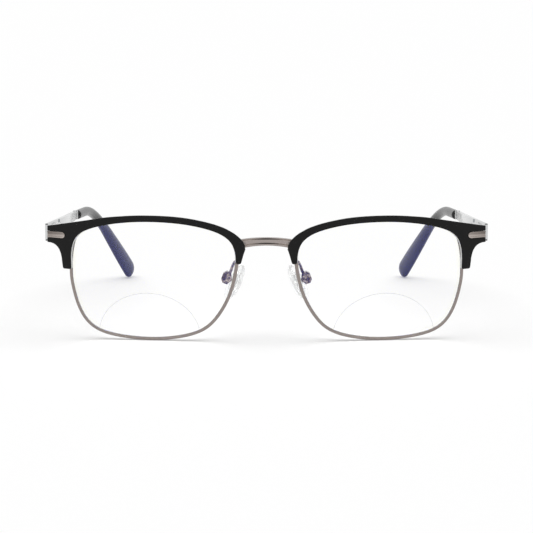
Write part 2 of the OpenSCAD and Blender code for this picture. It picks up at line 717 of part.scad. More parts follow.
// Hinge leaf with two knuckles, soldered behind the endpiece
outer_knuckle_h = (hinge_h - eye_knuckle_h) / 2 - hinge_fit;
module knuckle(z0) {
    translate([hinge_x, hinge_y, z0]) cylinder(h = outer_knuckle_h, r = knuckle_r);
    translate([hinge_x - knuckle_r, seam_y, z0]) cube([2 * knuckle_r, hinge_y - seam_y, outer_knuckle_h]);
}
module hinge_leaf() {
    difference() {
        union() {
            knuckle(hinge_z - hinge_h / 2);
            knuckle(hinge_z + hinge_h / 2 - outer_knuckle_h);
            intersection() {
                translate([hinge_x - knuckle_r, end_reach, hinge_z - hinge_h / 2])
                    cube([2 * knuckle_r, seam_y + 0.1 - end_reach, hinge_h]);
                lens_frame() behind(end_t + seat);
            }
        }
        translate([hinge_x, hinge_y, hinge_z - hinge_h])
            cylinder(h = 2 * hinge_h, d = hinge_screw_d + 2 * brow_screw_fit);
    }
}
module hinge_screw() {
    translate([hinge_x, hinge_y, hinge_z - hinge_h / 2]) {
        cylinder(h = hinge_h + seat, d = hinge_screw_d);
        translate([0, 0, hinge_h + seat]) screw_head(2 * knuckle_r - 0.2, 0.5);
    }
}

// Sprung slide: an eye on the hinge pin and a stem that runs into the box
box_y = knuckle_r + 0.3;
cap_l = 1;
bore_r = box_w / 2 - 0.4;
stop_l = 0.8;
spring_end = 0.03;
// The spring is long enough to keep a gap between its turns at full travel
turn_gap = 0.42;
spring_l = spring_turns * (spring_wire + turn_gap) + spring_travel;
spring_y0 = box_y + cap_l + spring_end + spring_wire / 2;
spring_y1 = spring_y0 + spring_l;
stop_y = spring_y1 + spring_wire / 2 + spring_end;
bore_l = stop_y + stop_l + 0.6 - box_y;
box_l = bore_l + 1;
module hinge_slide() {
    temple_frame() difference() {
        union() {
            translate([0, 0, -eye_knuckle_h / 2]) cylinder(h = eye_knuckle_h, r = knuckle_r);
            rotate([-90, 0, 0]) cylinder(h = stop_y + stop_l, d = stem_d);
        }
        translate([0, 0, -2]) cylinder(h = 4, d = hinge_screw_d + 2 * hinge_fit);
    }
}
module hinge_stop() {
    temple_frame() translate([0, stop_y, 0]) rotate([-90, 0, 0]) difference() {
        cylinder(h = stop_l, r = bore_r - 0.08);
        translate([0, 0, -1]) cylinder(h = 3, d = stem_d + 2 * seat);
    }
}
module hinge_cap() {
    temple_frame() translate([0, box_y, 0]) rotate([-90, 0, 0]) difference() {
        cylinder(h = cap_l, r = bore_r - seat);
        translate([0, 0, -1]) cylinder(h = 3, d = stem_d + 2 * hinge_fit);
    }
}
module hinge_box() {
    temple_frame() translate([-box_w / 2, box_y, -hinge_h / 2]) difference() {
        cube([box_w, box_l, hinge_h]);
        translate([box_w / 2, -1, hinge_h / 2]) rotate([-90, 0, 0]) cylinder(h = bore_l + 1, r = bore_r);
        translate([-1, box_l, hinge_h / 2]) rotate([45, 0, 0]) cube([box_w / 2, 0.8, 0.8]);
    }
}
// Coil spring round the stem, between the cap and the stop
spring_r = (stem_d / 2 + bore_r) / 2;
spring_pitch = spring_l / spring_turns;
turn_rings = 8;
spring_points = [
    for (k = [0 : turn_rings * spring_turns]) let (a = 360 * k / turn_rings)
        [spring_r * cos(a), spring_y0 + spring_pitch * k / turn_rings, spring_r * sin(a)]
];
echo(least_gap_in_spring = spring_pitch - spring_wire);
module hinge_spring() {
    temple_frame() skin([
        for (k = [0 : turn_rings * spring_turns])
            let (a = 360 * k / turn_rings, p = spring_points[k], out = [cos(a), 0, sin(a)])
            [for (i = [0:5]) p + spring_wire / 2 * (out * cos(60 * i) + [0, 1, 0] * sin(60 * i))]
    ]);
}

// Temple: a flat tapered shank, thin beside the hinge, and a core wire
step_y = box_y + box_l + 10.5;
shank_plan = [
    [shank_out, shank_y0], [shank_out, shank_y1], [shank_out - shank_t, shank_y1],
    [shank_out - shank_t, step_y], [shank_in, step_y - 0.1], [shank_in, shank_y0]
];
shank_side = [
    [shank_y0, shank_h / 2], [shank_y1, shank_mid(shank_y1) + shank_end_h / 2],
    [shank_y1, shank_mid(shank_y1) - shank_end_h / 2], [shank_y0, -shank_h / 2]
];
plan_room = 10;
module temple() {
    temple_frame() {
        intersection() {
            translate([0, 0, -plan_room]) linear_extrude(2 * plan_room) polygon(shank_plan);
            translate([-plan_room, 0, 0]) rotate([90, 0, 90])
                linear_extrude(2 * plan_room) polygon(shank_side);
        }
        skin([for (s = concat([-1], core_stations)) path_ring(core_mid(s), s, core_d / 2, core_d / 2, 10)]);
    }
}
// Collar over the end of the shank, which stops just short of the sleeve
collar_wall = 0.12;
collar_room = 0.06;
collar_past = sleeve_room - 2 * seat;
module temple_collar() {
    temple_frame() translate([0, shank_y1, shank_mid(shank_y1)]) rotate([-droop, 0, 0])
        translate([0, collar_past - collar_l, 0]) difference() {
        translate([shank_out - shank_t - collar_wall, 0, -shank_end_h / 2 - collar_room - collar_wall])
            cube([shank_t + 2 * collar_wall, collar_l, shank_end_h + 2 * (collar_room + collar_wall)]);
        translate([shank_out - shank_t - seat, -1, -shank_end_h / 2 - collar_room])
            cube([shank_t + 2 * seat, collar_l + 2, shank_end_h + 2 * collar_room]);
    }
}
// Hollow sleeve over the core wire, flattened towards the tip
sleeve_rings = 30;
core_fit = 0.05;
bore_past = 0.3;
bore_stations = concat([core_l + bore_past],
    [for (j = [len(core_stations) - 1 : -1 : 0]) core_stations[j]]);
function bore_ring(s) =
    let (r = core_d / 2 + core_fit) path_ring(core_mid(s), s, r, r, sleeve_sides);
function ease(f) = 1 - pow(1 - f, 1.4);
module temple_tip() {
    outer = [for (j = [0 : sleeve_rings]) sleeve_ring(sleeve_l * ease(j / sleeve_rings), sleeve_l)];
    inner = [for (s = bore_stations) bore_ring(s)];
    rings = concat(inner, outer);
    temple_frame() skin(rings);
}

// The named pieces, left and right
module left_plate_tab() { color(gunmetal) on_side("left") plate_tab(); }
module right_plate_tab() { color(gunmetal) on_side("right") plate_tab(); }
module left_eyewire() { color(gunmetal) on_side("left") eyewire(); }
module right_eyewire() { color(gunmetal) on_side("right") eyewire(); }
module left_lens() { color("lightblue", 0.4) on_side("left") lens(); }
module right_lens() { color("lightblue", 0.4) on_side("right") lens(); }
module left_brow_plate() { color(black) on_side("left") brow_plate(); }
module right_brow_plate() { color(black) on_side("right") brow_plate(); }
module left_trim_bar() { color(gunmetal) on_side("left") trim_bar(); }
module right_trim_bar() { color(gunmetal) on_side("right") trim_bar(); }
module left_endpiece() { color(metal) on_side("left") endpiece(); }
module right_endpiece() { color(metal) on_side("right") endpiece(); }
module left_rim_lock_upper() { color(gunmetal) on_side("left") lock_block(split_v + split_gap / 2); }
module right_rim_lock_upper() { color(gunmetal) on_side("right") lock_block(split_v + split_gap / 2); }
module left_rim_lock_lower() {
    color(gunmetal) on_side("left") lock_block(split_v - split_gap / 2 - lock_h);
}
module right_rim_lock_lower() {
    color(gunmetal) on_side("right") lock_block(split_v - split_gap / 2 - lock_h);
}
module rim_lock_screws() { color(metal) for (side = ["left", "right"]) on_side(side) lock_screw(); }
module brow_screws() {
    color(metal) for (side = ["left", "right"], p = [temple_screw, nose_screw])
        on_side(side) lens_frame() brow_screw(p, end_t);
}
module left_pad_arm() { color(metal) on_side("left") pad_arm(); }
module right_pad_arm() { color(metal) on_side("right") pad_arm(); }
module left_pad_box() { color(metal) on_side("left") pad_box(); }
module right_pad_box() { color(metal) on_side("right") pad_box(); }
module pad_screws() { color(metal) for (side = ["left", "right"]) on_side(side) pad_screw(); }
module left_nose_pad() { color("white", 0.5) on_side("left") nose_pad(); }
module right_nose_pad() { color("white", 0.5) on_side("right") nose_pad(); }
module left_pad_insert() { color("lightgray") on_side("left") pad_insert(); }
module right_pad_insert() { color("lightgray") on_side("right") pad_insert(); }
module left_hinge_leaf() { color(metal) on_side("left") hinge_leaf(); }
module right_hinge_leaf() { color(metal) on_side("right") hinge_leaf(); }
module hinge_screws() { color(metal) for (side = ["left", "right"]) on_side(side) hinge_screw(); }
module left_hinge_slide() { color(metal) on_side("left") hinge_slide(); }
module right_hinge_slide() { color(metal) on_side("right") hinge_slide(); }
module left_hinge_stop() { color(metal) on_side("left") hinge_stop(); }
module right_hinge_stop() { color(metal) on_side("right") hinge_stop(); }
module left_hinge_spring() { color(metal) on_side("left") hinge_spring(); }
module right_hinge_spring() { color(metal) on_side("right") hinge_spring(); }
module left_hinge_cap() { color(metal) on_side("left") hinge_cap(); }
module right_hinge_cap() { color(metal) on_side("right") hinge_cap(); }
module left_hinge_box() { color(metal) on_side("left") hinge_box(); }
module right_hinge_box() { color(metal) on_side("right") hinge_box(); }
module left_temple() { color(metal) on_side("left") temple(); }
module right_temple() { color(metal) on_side("right") temple(); }
module left_temple_collar() { color(metal) on_side("left") temple_collar(); }
module right_temple_collar() { color(metal) on_side("right") temple_collar(); }
module left_temple_tip() { color(black) on_side("left") temple_tip(); }
module right_temple_tip() { color(black) on_side("right") temple_tip(); }

bridge();
left_plate_tab();
right_plate_tab();
left_eyewire();
right_eyewire();
left_lens();
right_lens();
left_brow_plate();
right_brow_plate();
left_trim_bar();
right_trim_bar();
left_endpiece();
right_endpiece();
left_rim_lock_upper();
right_rim_lock_upper();
left_rim_lock_lower();
right_rim_lock_lower();
rim_lock_screws();
brow_screws();
left_pad_arm();
right_pad_arm();
left_pad_box();
right_pad_box();
pad_screws();
left_nose_pad();
right_nose_pad();
left_pad_insert();
right_pad_insert();
left_hinge_leaf();
right_hinge_leaf();
hinge_screws();
left_hinge_slide();
right_hinge_slide();
left_hinge_stop();
right_hinge_stop();
left_hinge_spring();
right_hinge_spring();
left_hinge_cap();
right_hinge_cap();
left_hinge_box();
right_hinge_box();
left_temple();
right_temple();
left_temple_collar();
right_temple_collar();
left_temple_tip();
right_temple_tip();
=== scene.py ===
"""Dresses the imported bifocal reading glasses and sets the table, the light and the camera.

X runs to the wearer's left, Y from the front to the temple tips and Z up, in metres. The glasses
stand on their eyewires and temple tips, as they do in the photograph.
"""

import logging
import math
from dataclasses import dataclass, field
from enum import Enum

import bmesh
import bpy
from mathutils import Euler, Matrix, Vector


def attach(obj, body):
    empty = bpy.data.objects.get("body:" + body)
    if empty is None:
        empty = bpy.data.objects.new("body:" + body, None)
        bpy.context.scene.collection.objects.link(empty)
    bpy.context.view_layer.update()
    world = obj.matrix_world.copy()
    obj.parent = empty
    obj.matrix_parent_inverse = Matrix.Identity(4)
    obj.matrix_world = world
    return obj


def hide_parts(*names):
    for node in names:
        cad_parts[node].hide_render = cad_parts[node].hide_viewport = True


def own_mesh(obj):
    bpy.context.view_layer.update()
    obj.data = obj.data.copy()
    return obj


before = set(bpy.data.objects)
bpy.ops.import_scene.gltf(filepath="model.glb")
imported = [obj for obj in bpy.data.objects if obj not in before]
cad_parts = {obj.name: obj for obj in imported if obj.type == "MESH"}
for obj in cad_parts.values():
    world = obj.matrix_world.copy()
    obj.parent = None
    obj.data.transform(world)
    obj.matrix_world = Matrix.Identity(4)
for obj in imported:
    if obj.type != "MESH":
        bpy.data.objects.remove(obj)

LOG = logging.getLogger("reading_glasses")
MM = 0.001
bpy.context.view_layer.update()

# The sRGB curve: a straight part near black, then a power
SRGB_KNEE = 0.04045
SRGB_SLOPE = 12.92
SRGB_OFFSET = 0.055
SRGB_POWER = 2.4
# How much each finer octave of a grain adds, and the span that holds nearly all of a grain's values
GRAIN_FALLOFF = 0.6
GRAIN_SPAN = (0.3, 0.7)
# Points of a CAD mesh that lie closer together than this are one point
WELD_MM = 0.0005
# Faces that turn less than this are one flat face
FLAT_DEG = 0.5
# Triangles join into four-sided faces up to this turn and this much out of square
QUAD_TURN_DEG = 20.0
QUAD_SKEW_DEG = 70.0
# How crisp a swept piece's edges stay when it is rounded
EDGE_CREASE = 0.6
# Edges that turn more than this stay crisp on machined and on swept pieces
MACHINED_SHARP_DEG = 35.0
SWEPT_SHARP_DEG = 60.0

Colour = tuple[float, float, float, float]


class Side(Enum):
    """The wearer's side that a piece is on."""

    LEFT = "left"
    RIGHT = "right"

    @property
    def sign(self) -> float:
        """Direction of X on this side."""
        return 1.0 if self is Side.LEFT else -1.0

    def node(self, name: str) -> str:
        """Name of this side's CAD node."""
        return f"{self.value}_{name}"


class Slot(Enum):
    """Names of material slots that go with the new pieces; nothing reads them."""

    LENS = "lens"
    LACQUER = "brow_lacquer"
    GUNMETAL = "gunmetal"
    SILVER = "silver_steel"
    NICKEL = "nickel"
    SILICONE = "pad_silicone"
    TIP = "tip_black"
    SPRING = "spring_steel"


def linear(hex_colour: str) -> Colour:
    """Turns an sRGB hex colour into linear light.

    Args:
        hex_colour: Six hex digits after a hash sign.

    Returns:
        Red, green, blue and a full alpha.
    """
    light = []
    for start in (1, 3, 5):
        part = int(hex_colour[start : start + 2], 16) / 255
        curved = ((part + SRGB_OFFSET) / (1 + SRGB_OFFSET)) ** SRGB_POWER
        light.append(part / SRGB_SLOPE if part <= SRGB_KNEE else curved)
    return (light[0], light[1], light[2], 1.0)


def add_node(
    tree: bpy.types.NodeTree, kind: str, inputs: dict | None = None, **settings: object
) -> bpy.types.Node:
    """Adds a node with its settings, values and links.

    Args:
        tree: The tree that gets the node.
        kind: Blender's name for the node.
        inputs: Values for the sockets by name or number, or the output that is linked there.
        settings: The node's own settings.

    Returns:
        The new node.
    """
    node = tree.nodes.new(kind)
    for name, value in settings.items():
        setattr(node, name, value)
    for key, value in (inputs or {}).items():
        if isinstance(value, bpy.types.NodeSocket):
            tree.links.new(value, node.inputs[key])
        else:
            node.inputs[key].default_value = value
    return node


def empty_material(name: str) -> tuple[bpy.types.Material, bpy.types.NodeTree, bpy.types.Node]:
    """Starts a material with its output node only.

    Args:
        name: The material's name.

    Returns:
        The material, its node tree and the output node.
    """
    material = bpy.data.materials.new(name)
    material.use_nodes = True
    tree = material.node_tree
    tree.nodes.clear()
    return material, tree, add_node(tree, "ShaderNodeOutputMaterial")


def grain(
    tree: bpy.types.NodeTree, size_mm: tuple[float, float, float], octaves: float
) -> bpy.types.Node:
    """Adds a noise whose grains have a real size along each axis.

    Args:
        tree: The material's tree.
        size_mm: Length of a grain along X, Y and Z.
        octaves: How many finer octaves of grain there are.

    Returns:
        The noise node.
    """
    place = add_node(tree, "ShaderNodeTexCoord")
    scale = tuple(1 / (size * MM) for size in size_mm)
    mapping = add_node(tree, "ShaderNodeMapping", {"Vector": place.outputs["Object"], "Scale": scale})
    noise = {"Scale": 1.0, "Detail": octaves, "Roughness": GRAIN_FALLOFF}
    return add_node(tree, "ShaderNodeTexNoise", {"Vector": mapping.outputs["Vector"], **noise})


def map_range(
    tree: bpy.types.NodeTree,
    value: bpy.types.NodeSocket,
    source: tuple[float, float],
    target: tuple[float, float] = (0.0, 1.0),
) -> bpy.types.NodeSocket:
    """Adds a straight map from one span of values to another.

    Args:
        tree: The tree that gets the node.
        value: The value to map.
        source: The span that the value comes from.
        target: The span that it is mapped to.

    Returns:
        The mapped value.
    """
    ends = {"From Min": source[0], "From Max": source[1], "To Min": target[0], "To Max": target[1]}
    return add_node(tree, "ShaderNodeMapRange", {"Value": value, **ends}).outputs["Result"]


def mix_colours(
    tree: bpy.types.NodeTree, share: bpy.types.NodeSocket, low: str, high: str
) -> bpy.types.NodeSocket:
    """Adds a mix of two colours.

    Args:
        tree: The tree that gets the node.
        share: Share of the high colour.
        low: The hex colour where the share is zero.
        high: The hex colour where the share is one.

    Returns:
        The mixed colour.
    """
    ends = {0: share, 6: linear(low), 7: linear(high)}
    return add_node(tree, "ShaderNodeMix", ends, data_type="RGBA").outputs[2]


def add_relief(
    tree: bpy.types.NodeTree, height: bpy.types.NodeSocket, depth_mm: float, strength: float
) -> bpy.types.NodeSocket:
    """Adds the fine relief that a grain leaves in a surface.

    Args:
        tree: The tree that gets the node.
        height: The grain.
        depth_mm: Depth of the relief.
        strength: How much of it shows.

    Returns:
        The surface's normal.
    """
    ends = {"Height": height, "Distance": depth_mm * MM, "Strength": strength}
    return add_node(tree, "ShaderNodeBump", ends).outputs["Normal"]


class Axis(Enum):
    """An axis that a finish changes along."""

    ACROSS = "X"
    UP = "Z"


@dataclass(frozen=True)
class Fade:
    """Painted shade: where a finish goes from its dull, shaded colour to its bright colour, as distances
    from zero along an axis.
    """

    axis: Axis
    dull_mm: float
    bright_mm: float


@dataclass(frozen=True)
class Metal:
    """A metal finish: plated, brushed, satin or polished.

    The grain is what the last working of the metal left: long hairlines where it was brushed, small even
    pits where it was blasted, and next to nothing where it was polished. The fades are painted shade,
    and strong clouds on polished metal are painted reflection.
    """

    name: str
    bright: str
    dull: str
    roughness: float
    spread: float
    grain_mm: tuple[float, float, float]
    depth_mm: float
    clouds: tuple[float, float] = (0.0, 1.0)
    fades: tuple[Fade, ...] = ()
    wear_mm: float = 3.0
    grain_octaves: float = 3.0
    wear_octaves: float = 2.0
    relief: float = 0.5

    def share(self, tree: bpy.types.NodeTree, lines: bpy.types.Node) -> bpy.types.NodeSocket:
        """Adds the share of the bright colour: the grain's, or painted shade that grows along the fades'
        axes.

        Args:
            tree: The material's tree.
            lines: The grain's noise.

        Returns:
            The socket that mixes the two colours.
        """
        if not self.fades:
            return map_range(tree, lines.outputs["Fac"], self.clouds)
        place = add_node(tree, "ShaderNodeTexCoord")
        parts = add_node(tree, "ShaderNodeSeparateXYZ", {0: place.outputs["Object"]})
        total = None
        for fade in self.fades:
            along = {0: parts.outputs[fade.axis.value]}
            away = add_node(tree, "ShaderNodeMath", along, operation="ABSOLUTE").outputs[0]
            span = (fade.dull_mm * MM, fade.bright_mm * MM)
            one = map_range(tree, away, span, (0.0, 1 / len(self.fades)))
            if total is None:
                total = one
            else:
                total = add_node(tree, "ShaderNodeMath", {0: one, 1: total}, operation="ADD").outputs[0]
        return total

    def material(self) -> bpy.types.Material:
        """Builds the metal with its grain in colour, roughness and relief.

        Returns:
            The material.
        """
        material, tree, out = empty_material(self.name)
        lines = grain(tree, self.grain_mm, self.grain_octaves)
        handling = grain(tree, (self.wear_mm,) * 3, self.wear_octaves)
        matt = (self.roughness - self.spread, self.roughness + self.spread)
        looks = {
            "Base Color": mix_colours(tree, self.share(tree, lines), self.dull, self.bright),
            "Metallic": 1.0,
            "Roughness": map_range(tree, handling.outputs["Fac"], GRAIN_SPAN, matt),
            "Normal": add_relief(tree, lines.outputs["Fac"], self.depth_mm, self.relief),
        }
        shader = add_node(tree, "ShaderNodeBsdfPrincipled", looks)
        tree.links.new(shader.outputs["BSDF"], out.inputs["Surface"])
        return material


@dataclass(frozen=True)
class Lacquer:
    """A baked black lacquer or a moulded black plastic.

    A sprayed coat keeps a faint orange peel, and a moulded tip the soft ripple of its polished mould.
    """

    name: str
    deep: str
    lifted: str
    roughness: float
    spread: float
    ripple_mm: float
    depth_mm: float
    shine: float
    wear_mm: float = 6.0
    ripple_octaves: float = 2.0
    wear_octaves: float = 3.0
    relief: float = 0.4

    def material(self) -> bpy.types.Material:
        """Builds the coat with its ripple and its handling marks.

        Returns:
            The material.
        """
        material, tree, out = empty_material(self.name)
        ripple = grain(tree, (self.ripple_mm,) * 3, self.ripple_octaves)
        handling = grain(tree, (self.wear_mm,) * 3, self.wear_octaves)
        matt = (self.roughness - self.spread, self.roughness + self.spread)
        looks = {
            "Base Color": mix_colours(tree, handling.outputs["Fac"], self.deep, self.lifted),
            "Roughness": map_range(tree, handling.outputs["Fac"], GRAIN_SPAN, matt),
            "Normal": add_relief(tree, ripple.outputs["Fac"], self.depth_mm, self.relief),
            "Specular IOR Level": self.shine,
        }
        shader = add_node(tree, "ShaderNodeBsdfPrincipled", looks)
        tree.links.new(shader.outputs["BSDF"], out.inputs["Surface"])
        return material


@dataclass(frozen=True)
class ClearMoulding:
    """A clear moulded material: lens resin, soft silicone or hard polycarbonate.

    A lens's coat sends back a little violet and blue, which shows over whatever is dark behind it.
    The presence is the share of the light that is bent and mirrored; the rest goes straight through.
    """

    name: str
    body: str
    sheen: str
    ior: float
    roughness: float
    ripple_mm: float
    depth_mm: float
    shine: float = 0.5
    presence: float = 1.0
    ripple_octaves: float = 1.0
    relief: float = 0.3
    matt_share: tuple[float, float] = (0.5, 1.5)

    def material(self) -> bpy.types.Material:
        """Builds the clear body with its coat and the faint ripple of its mould.

        Returns:
            The material.
        """
        material, tree, out = empty_material(self.name)
        ripple = grain(tree, (self.ripple_mm,) * 3, self.ripple_octaves)
        matt = (self.roughness * self.matt_share[0], self.roughness * self.matt_share[1])
        looks = {
            "Base Color": linear(self.body),
            "Roughness": map_range(tree, ripple.outputs["Fac"], (0.0, 1.0), matt),
            "IOR": self.ior,
            "Transmission Weight": 1.0,
            "Specular Tint": linear(self.sheen),
            "Specular IOR Level": self.shine,
            "Normal": add_relief(tree, ripple.outputs["Fac"], self.depth_mm, self.relief),
        }
        seen = add_node(tree, "ShaderNodeBsdfPrincipled", looks).outputs["BSDF"]
        if self.presence < 1.0:
            unseen = add_node(tree, "ShaderNodeBsdfTransparent").outputs[0]
            share = {0: self.presence, 1: unseen, 2: seen}
            seen = add_node(tree, "ShaderNodeMixShader", share).outputs[0]
        tree.links.new(seen, out.inputs["Surface"])
        return material


# Satin gunmetal plating on nickel silver wire: warm grey, with fine lengthwise lines
GUNMETAL = Metal("satin_gunmetal_plate", "#9d9490", "#857c78", 0.3, 0.04, (0.5, 0.5, 0.12), 0.006)
# The same plate on the bridge and the trim bars, brushed sideways
BRUSHED_GUNMETAL = Metal(
    "brushed_gunmetal_plate", "#a69d98", "#978e8b", 0.27, 0.04, (3.0, 0.2, 0.16), 0.004
)
# The same plate in the bridge's grooves, with painted shade: dark in the middle of the bridge and
# brighter towards the ends
SHADED_GROOVE = Metal(
    "gunmetal_groove_painted_shade",
    "#b7aea8",
    "#403b38",
    0.32,
    0.04,
    (0.6, 0.6, 0.6),
    0.003,
    fades=(Fade(Axis.ACROSS, 0.5, 5.0),),
)
# The same plate on the trim bars, brushed along, with painted shade: duller in the upper half and
# towards the corner
SHADED_TRIM = Metal(
    "brushed_gunmetal_trim_painted_shade",
    "#b2a9a3",
    "#6f6762",
    0.27,
    0.03,
    (3.0, 0.2, 0.16),
    0.002,
    fades=(Fade(Axis.UP, 33.4, 33.15), Fade(Axis.ACROSS, 69.0, 63.0)),
)
# The same plate on the inner wall of the eyewires, darkened with painted shade where it looks sideways
SHADED_INNER_WALL = Metal("gunmetal_wall_painted_shade", "#514a46", "#46403c", 0.35, 0.04, (0.5, 0.5, 0.5), 0.003)
# Steel at the front ends of the temples, darkened with painted shade, which shows as the seam over the
# hinges
SHADED_TEMPLE_END = Metal("temple_end_painted_shade", "#3d3e3f", "#343536", 0.4, 0.04, (0.4, 0.4, 0.4), 0.002)
# Steel of the ledge where a temple grows thicker behind its spring box, greyed with painted shade
SHADED_LEDGE = Metal("steel_ledge_painted_shade", "#9da2a5", "#92979a", 0.35, 0.04, (0.4, 0.4, 0.4), 0.002)
# Milled nickel silver of the brow plates' walls and backs, left bright where the lacquer stops
BARE_EDGE = Metal("milled_nickel_silver_edge", "#cdcdcd", "#c4c4c4", 0.34, 0.02, (0.5, 0.5, 0.5), 0.0006)
# Satin stainless steel of the temples and endpieces, brushed from hinge to tip
SILVER = Metal("brushed_stainless_steel", "#cecfcf", "#c9caca", 0.17, 0.02, (0.2, 6.0, 0.25), 0.0006)
# Dark polished nickel of the pad arms and pad boxes, with strong light and dark patches of painted
# reflection
NICKEL = Metal(
    "dark_nickel_painted_reflections", "#a69b94", "#4a4036", 0.12, 0.03, (1.1, 1.1, 1.1), 0.003, clouds=(0.45, 0.6)
)
# The same nickel on the pad screws' heads, with strong light and dark patches of painted reflection
PAD_SCREW = Metal(
    "dark_nickel_screw_painted_reflections",
    "#b8ada8",
    "#4d443c",
    0.15,
    0.03,
    (0.7, 0.7, 0.7),
    0.003,
    clouds=(0.42, 0.58),
)
# Turned and polished steel of the screws
SCREW = Metal("turned_screw_steel", "#c4c2c6", "#aeacb2", 0.14, 0.03, (0.3, 0.3, 0.3), 0.004)
# Drawn spring wire, oiled
SPRING = Metal("drawn_spring_wire", "#b9bab8", "#989a9a", 0.22, 0.05, (0.2, 0.2, 0.2), 0.004)
# Matt black lacquer, sprayed and baked, over the face of the brow plates
LACQUER = Lacquer("baked_matt_black_lacquer", "#131313", "#191919", 0.5, 0.05, 0.5, 0.004, 0.16)
# Polished black acetate of the temple tips
ACETATE = Lacquer("polished_black_acetate", "#0c0c0e", "#121214", 0.24, 0.03, 2.5, 0.006, 0.5)
# Hard resin of the lenses under a coat against reflections
LENS_RESIN = ClearMoulding("coated_lens_resin", "#ffffff", "#6973ff", 1.59, 0.004, 20.0, 0.0, 0.75)
# The step round the reading segment, which its mould leaves a little frosted, greyed with painted shade
# so that it shows as a line
STEP_RESIN = ClearMoulding("frosted_segment_step_painted_shade", "#a9abae", "#ffffff", 1.59, 0.25, 0.5, 0.004)
# Soft clear silicone of the nose pads
SILICONE = ClearMoulding("clear_pad_silicone", "#f7f9f9", "#ffffff", 1.4, 0.04, 1.2, 0.004, 0.5, 0.5)
# Hard clear polycarbonate of the inserts, moulded glossy, which shows as thin dark lines in the pad
POLYCARBONATE = ClearMoulding(
    "clear_insert_polycarbonate", "#f4f5f6", "#ffffff", 1.5, 0.02, 2.0, 0.002, 0.5, 0.6
)


def paint(thing: bpy.types.Object, *materials: bpy.types.Material) -> None:
    """Gives an object its materials in order.

    Args:
        thing: The piece.
        materials: One material for each slot.
    """
    while len(thing.material_slots) > len(materials):
        thing.data.materials.pop()
    for index, material in enumerate(materials):
        if index < len(thing.material_slots):
            thing.material_slots[index].material = material
        else:
            thing.data.materials.append(material)


def cad_copy(node: str) -> bmesh.types.BMesh:
    """Copies a CAD node's mesh and joins its loose triangles.

    Args:
        node: The node's name.

    Returns:
        A closed bmesh in the place of the node.
    """
    shell = bmesh.new()
    shell.from_mesh(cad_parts[node].data)
    bmesh.ops.remove_doubles(shell, verts=shell.verts, dist=WELD_MM * MM)
    bmesh.ops.recalc_face_normals(shell, faces=shell.faces)
    return shell


def finish_piece(shell: bmesh.types.BMesh, name: str, sharp_deg: float) -> bpy.types.Object:
    """Turns a bmesh into a smooth-shaded object at the origin.

    Args:
        shell: The bmesh, which is freed.
        name: The new object's name.
        sharp_deg: Edges that turn more than this stay crisp.

    Returns:
        The object, linked to the scene.
    """
    mesh = bpy.data.meshes.new(name)
    shell.to_mesh(mesh)
    shell.free()
    mesh.shade_smooth()
    mesh.set_sharp_from_angle(angle=math.radians(sharp_deg))
    thing = bpy.data.objects.new(name, mesh)
    bpy.context.scene.collection.objects.link(thing)
    return thing


def sharp_edges(shell: bmesh.types.BMesh, least_deg: float) -> list[bmesh.types.BMEdge]:
    """Finds the edges that turn more than an angle.

    Args:
        shell: The bmesh.
        least_deg: The least turn.

    Returns:
        The edges.
    """
    least = math.radians(least_deg)
    return [e for e in shell.edges if len(e.link_faces) == 2 and e.calc_face_angle() > least]


def machined(node: str, edge_mm: float, least_deg: float = 40.0) -> bmesh.types.BMesh:
    """Copies a machined CAD node and breaks its edges.

    Args:
        node: The node's name.
        edge_mm: Width of the broken edge.
        least_deg: Edges that turn less than this are left.

    Returns:
        The bmesh.
    """
    shell = cad_copy(node)
    bmesh.ops.dissolve_limit(
        shell,
        angle_limit=math.radians(FLAT_DEG),
        verts=shell.verts,
        edges=shell.edges,
        use_dissolve_boundaries=False,
    )
    bmesh.ops.bevel(
        shell,
        geom=sharp_edges(shell, least_deg),
        offset=edge_mm * MM,
        segments=2,
        profile=0.5,
        affect="EDGES",
        material=-1,
        clamp_overlap=True,
    )
    bmesh.ops.recalc_face_normals(shell, faces=shell.faces)
    return shell


def swept(node: str, crease_deg: float = 60.0) -> bmesh.types.BMesh:
    """Copies a swept CAD node as clean four-sided faces, ready to be subdivided.

    Args:
        node: The node's name.
        crease_deg: Edges that turn more than this keep some of their crispness.

    Returns:
        The bmesh.
    """
    shell = cad_copy(node)
    bmesh.ops.join_triangles(
        shell,
        faces=shell.faces,
        angle_face_threshold=math.radians(QUAD_TURN_DEG),
        angle_shape_threshold=math.radians(QUAD_SKEW_DEG),
    )
    crease = shell.edges.layers.float.new("crease_edge")
    for edge in sharp_edges(shell, crease_deg):
        edge[crease] = EDGE_CREASE
    return shell


def machined_piece(node: str, made: str, edge_mm: float) -> bpy.types.Object:
    """Makes a new piece of a machined CAD node with broken edges.

    Args:
        node: The node's name.
        made: What is done to it, which ends the new piece's name.
        edge_mm: Width of the broken edge.

    Returns:
        The new piece.
    """
    return finish_piece(machined(node, edge_mm), f"{node}_{made}", MACHINED_SHARP_DEG)


def swept_piece(node: str, made: str, sharp_deg: float = SWEPT_SHARP_DEG) -> bpy.types.Object:
    """Makes a new piece of a swept CAD node, ready to be softened.

    Args:
        node: The node's name.
        made: What is done to it, which ends the new piece's name.
        sharp_deg: Edges that turn more than this stay crisp.

    Returns:
        The new piece.
    """
    return finish_piece(swept(node), f"{node}_{made}", sharp_deg)


def soften(thing: bpy.types.Object, levels: int) -> None:
    """Adds a subdivision surface with equal levels on screen and in the render.

    Args:
        thing: The piece.
        levels: How often each face is split in four.
    """
    surface = thing.modifiers.new("rounding", "SUBSURF")
    surface.levels = levels
    surface.render_levels = levels


